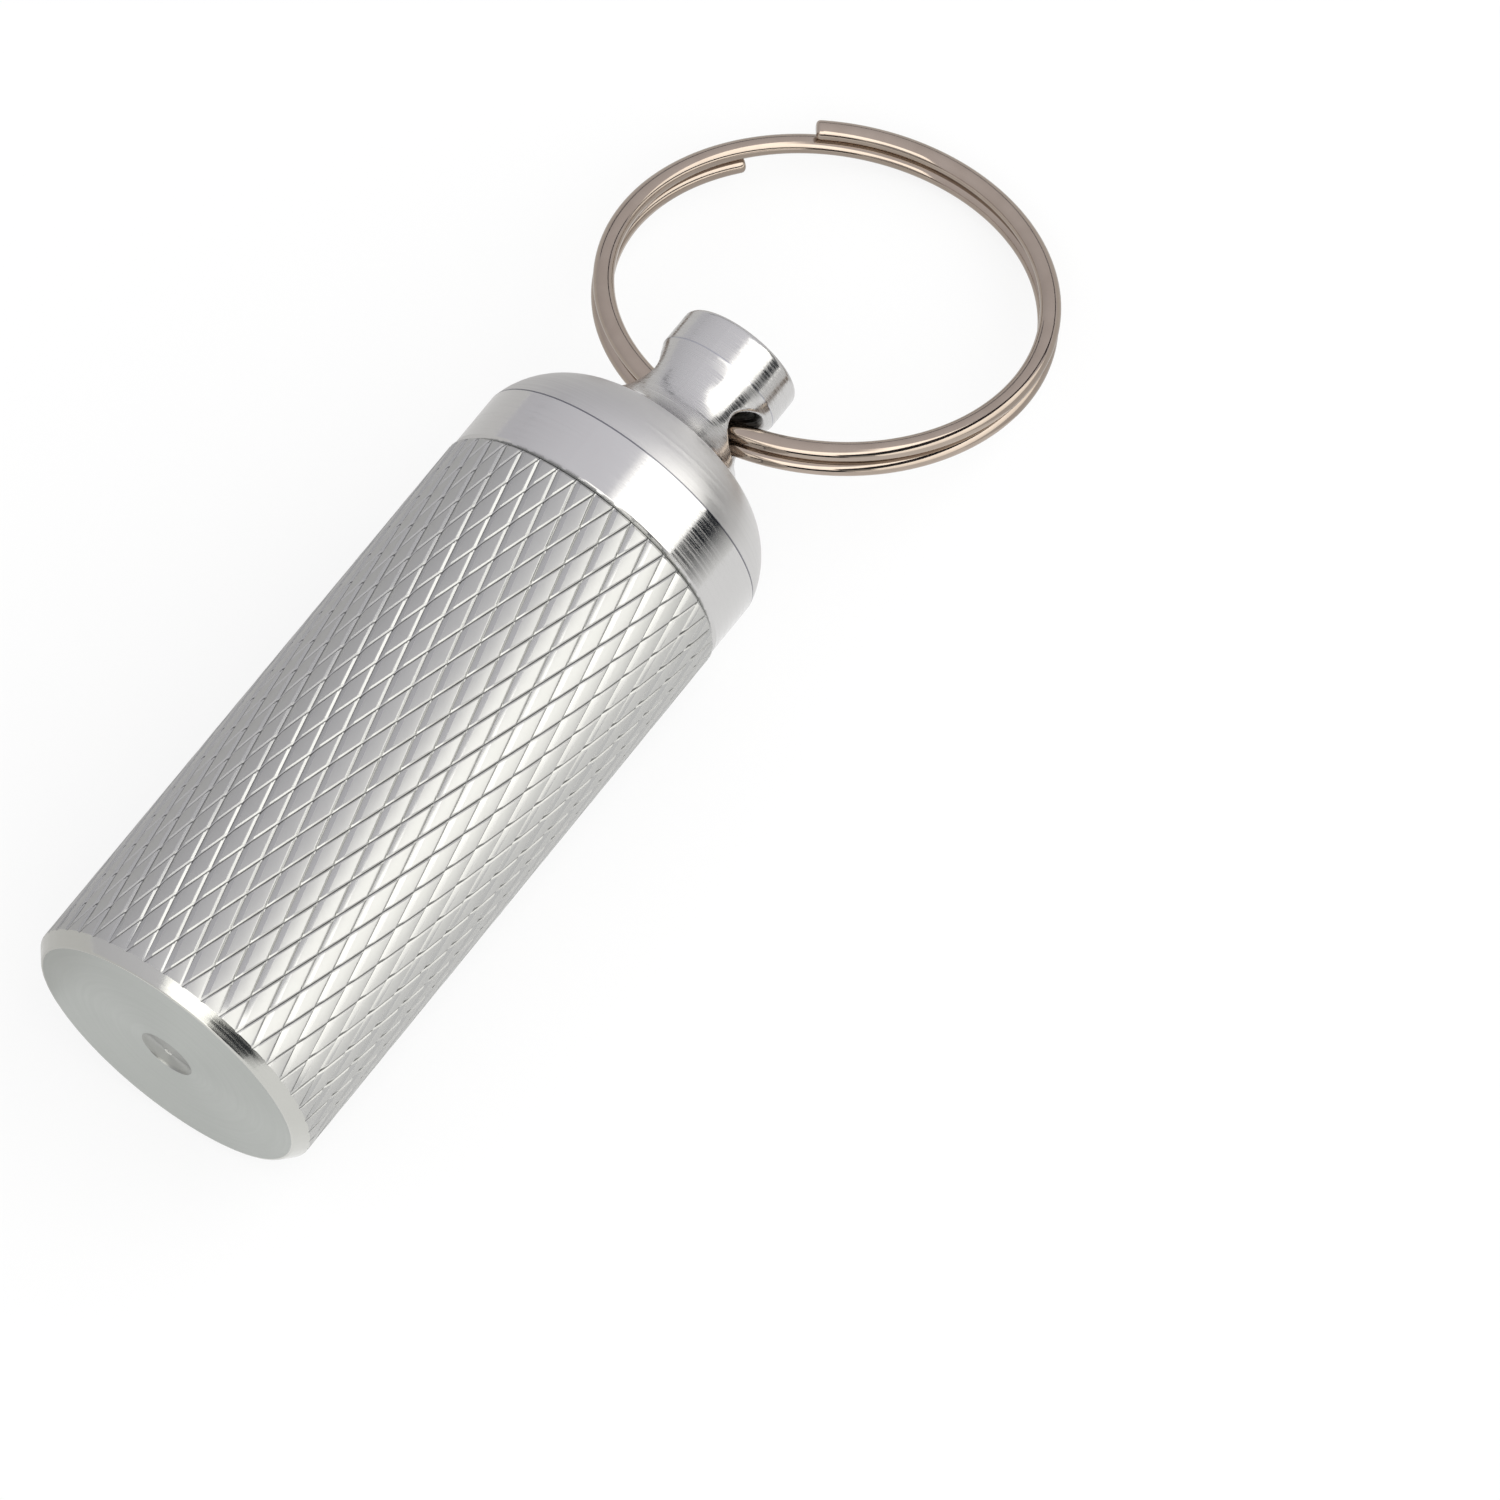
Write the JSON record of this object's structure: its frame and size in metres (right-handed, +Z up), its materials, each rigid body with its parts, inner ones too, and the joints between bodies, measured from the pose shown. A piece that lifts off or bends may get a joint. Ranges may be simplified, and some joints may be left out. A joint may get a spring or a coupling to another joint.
{
  "type": "pill fob keychain",
  "caption": "Knurled cylindrical pill canister with a screw-on domed cap, a rubber seal and a split key ring through the cap's drilled lug.",
  "frame": {"origin": "centre of the canister's flat base face, on its axis", "axes": "+X along the canister's axis from the base to the lug, +Z up as the fob lies on its side, +Y along the lug's cross hole"},
  "size_m": [0.0768, 0.028, 0.0196],
  "materials": {
    "knurled_aluminium": "bright diamond knurl on bare aluminium, turned end faces",
    "turned_aluminium": "fine turned and polished bare aluminium",
    "seal_rubber": "matt black moulded rubber",
    "nickel_plated_steel": "bright nickel plate on spring steel, slightly warm"
  },
  "bodies": {
    "canister": {"canister": "knurled_aluminium"},
    "seal": {"seal_ring": "seal_rubber"},
    "cap": {"cap": "turned_aluminium"},
    "split_ring": {"split_ring": "nickel_plated_steel"}
  },
  "joints": [
    {"name": "cap_turn", "type": "hinge", "parent": "canister", "child": "seal", "pos_m": [0.0398, 0, 0], "axis": [1, 0, 0], "range_deg": [0, 1800]},
    {"name": "cap_lift", "type": "slide", "parent": "seal", "child": "cap", "axis": [1, 0, 0], "range_m": [0, 0.0075]},
    {"name": "ring_swing", "type": "hinge", "parent": "cap", "child": "split_ring", "pos_m": [0.05105, 0, 0], "axis": [0, -1, 0], "range_deg": [-133, 172]}
  ],
  "couplings": [
    {"joint": "cap_lift", "follows": "cap_turn", "m_per_rad": 0.00023873}
  ]
}
